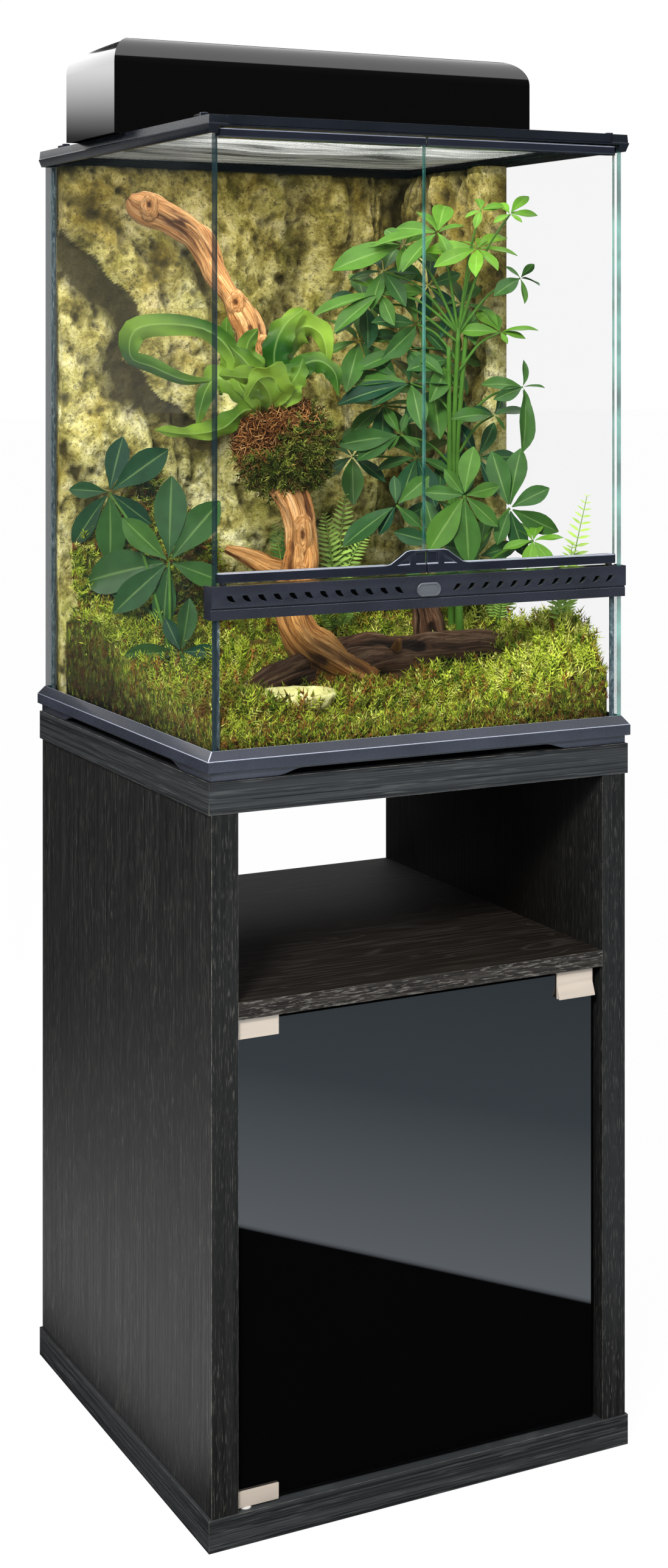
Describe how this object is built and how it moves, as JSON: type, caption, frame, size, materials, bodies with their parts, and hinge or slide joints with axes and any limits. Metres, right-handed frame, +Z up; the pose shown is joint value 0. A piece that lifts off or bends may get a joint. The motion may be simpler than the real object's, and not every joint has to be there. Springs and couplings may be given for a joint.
{
  "type": "terrarium cabinet",
  "caption": "Planted glass terrarium with twin doors, screen cover and lamp hood, standing on an open-shelf cabinet with a black glass door.",
  "frame": {"origin": "middle of the cabinet's underside, on the floor", "axes": "+Z up, the doors face -Y, +X to the right seen from the front"},
  "size_m": [0.484, 0.464, 1.415],
  "materials": {
    "black_wood": "black-stained ash-look foil, satin",
    "dowel_wood": "plain beech",
    "nickel": "satin nickel",
    "steel": "plain",
    "bush_plastic": "natural",
    "pad": "clear soft pad",
    "catch": "fine texture",
    "black_glass": "black-backed, polished",
    "clear_glass": "polished float glass, green edges",
    "silicone": "dark bead",
    "slate_plastic": "slate, fine metallic texture",
    "navy_plastic": "blue-black, gloss",
    "bar_plastic": "blue-black, satin",
    "cover_metal": "black coated",
    "mesh_wire": "stainless wire",
    "rock": "painted rock relief",
    "moss": "mixed moss and soil",
    "driftwood": "weathered branch",
    "bark": "dark bark",
    "dish_stone": "moulded stone",
    "root_moss": "moss and fibre",
    "strap_leaf": "thin leaf",
    "umbrella_leaf": "waxy leaf",
    "fern_leaf": "thin leaf",
    "gloss_black": "piano gloss",
    "reflector": "polished",
    "socket": "glazed",
    "lamp": "frosted",
    "gland": "soft"
  },
  "bodies": {
    "terrarium_cabinet": {"top_panel": "black_wood", "base_panel": "black_wood", "left_side_panel": "black_wood", "right_side_panel": "black_wood", "shelf": "black_wood", "back_panel": "black_wood", "panel_dowels": "dowel_wood", "pivot_bushes": "bush_plastic", "magnet_catch": "catch", "base_frame": "slate_plastic", "floor_glass": "clear_glass", "left_glass": "clear_glass", "right_glass": "clear_glass", "back_glass": "clear_glass", "lower_front_glass": "clear_glass", "glass_seals": "silicone", "vent_bar": "bar_plastic", "lock_plate": "bar_plastic", "top_frame": "navy_plastic", "rock_background": "rock", "rock_side": "rock", "ground": "moss", "driftwood_branch": "driftwood", "bark_log": "bark", "stone_dish": "dish_stone", "moss_ball": "root_moss", "strap_fern": "strap_leaf", "tall_umbrella_plant": "umbrella_leaf", "front_umbrella_plant": "umbrella_leaf", "left_umbrella_plant": "umbrella_leaf", "ground_ferns": "fern_leaf"},
    "cabinet_door": {"cabinet_door_glass": "black_glass", "upper_hinge_clip": "nickel", "lower_hinge_clip": "nickel", "door_pull": "nickel", "clip_pads": "pad", "clip_screws": "steel", "door_pivot_pins": "steel"},
    "left_door": {"left_door_glass": "clear_glass", "left_bottom_rail": "navy_plastic", "left_top_rail": "navy_plastic", "left_hinge_pins": "steel"},
    "right_door": {"right_door_glass": "clear_glass", "right_bottom_rail": "navy_plastic", "right_top_rail": "navy_plastic", "right_hinge_pins": "steel"},
    "screen_cover": {"cover_frame": "cover_metal", "cover_mesh": "mesh_wire"},
    "lamp_hood": {"hood_shell": "gloss_black", "hood_reflector": "reflector", "lamp_sockets": "socket", "lamps": "lamp", "hood_cable_gland": "gland"},
    "front_left_clip": {"front_left_cover_clip": "navy_plastic"},
    "front_right_clip": {"front_right_cover_clip": "navy_plastic"},
    "rear_left_clip": {"rear_left_cover_clip": "navy_plastic"},
    "rear_right_clip": {"rear_right_cover_clip": "navy_plastic"},
    "left_inlet": {"left_inlet_slider": "navy_plastic"},
    "right_inlet": {"right_inlet_slider": "navy_plastic"}
  },
  "joints": [
    {"name": "cabinet_door_hinge", "type": "hinge", "parent": "terrarium_cabinet", "child": "cabinet_door", "pos_m": [-0.189, -0.2195, 0.25], "axis": [0, 0, -1], "range_deg": [0, 100]},
    {"name": "left_door_hinge", "type": "hinge", "parent": "terrarium_cabinet", "child": "left_door", "pos_m": [-0.2125, -0.221, 1], "axis": [0, 0, -1], "range_deg": [0, 90]},
    {"name": "right_door_hinge", "type": "hinge", "parent": "terrarium_cabinet", "child": "right_door", "pos_m": [0.2125, -0.221, 1], "axis": [0, 0, 1], "range_deg": [0, 90]},
    {"name": "cover_lift", "type": "slide", "parent": "terrarium_cabinet", "child": "screen_cover", "axis": [0, 0, 1], "range_m": [0, 0.12]},
    {"name": "hood_lift", "type": "slide", "parent": "screen_cover", "child": "lamp_hood", "axis": [0, 0, 1], "range_m": [0, 0.15]},
    {"name": "front_left_clip_turn", "type": "hinge", "parent": "terrarium_cabinet", "child": "front_left_clip", "pos_m": [-0.224, -0.205, 1.318], "axis": [0, 0, -1], "range_deg": [0, 90]},
    {"name": "front_right_clip_turn", "type": "hinge", "parent": "terrarium_cabinet", "child": "front_right_clip", "pos_m": [0.224, -0.205, 1.318], "axis": [0, 0, 1], "range_deg": [0, 90]},
    {"name": "rear_left_clip_turn", "type": "hinge", "parent": "terrarium_cabinet", "child": "rear_left_clip", "pos_m": [-0.224, 0.163, 1.318], "axis": [0, 0, -1], "range_deg": [0, 90]},
    {"name": "rear_right_clip_turn", "type": "hinge", "parent": "terrarium_cabinet", "child": "rear_right_clip", "pos_m": [0.224, 0.163, 1.318], "axis": [0, 0, 1], "range_deg": [0, 90]},
    {"name": "left_inlet_slide", "type": "slide", "parent": "terrarium_cabinet", "child": "left_inlet", "axis": [-1, 0, 0], "range_m": [0, 0.036]},
    {"name": "right_inlet_slide", "type": "slide", "parent": "terrarium_cabinet", "child": "right_inlet", "axis": [1, 0, 0], "range_m": [0, 0.036]}
  ]
}
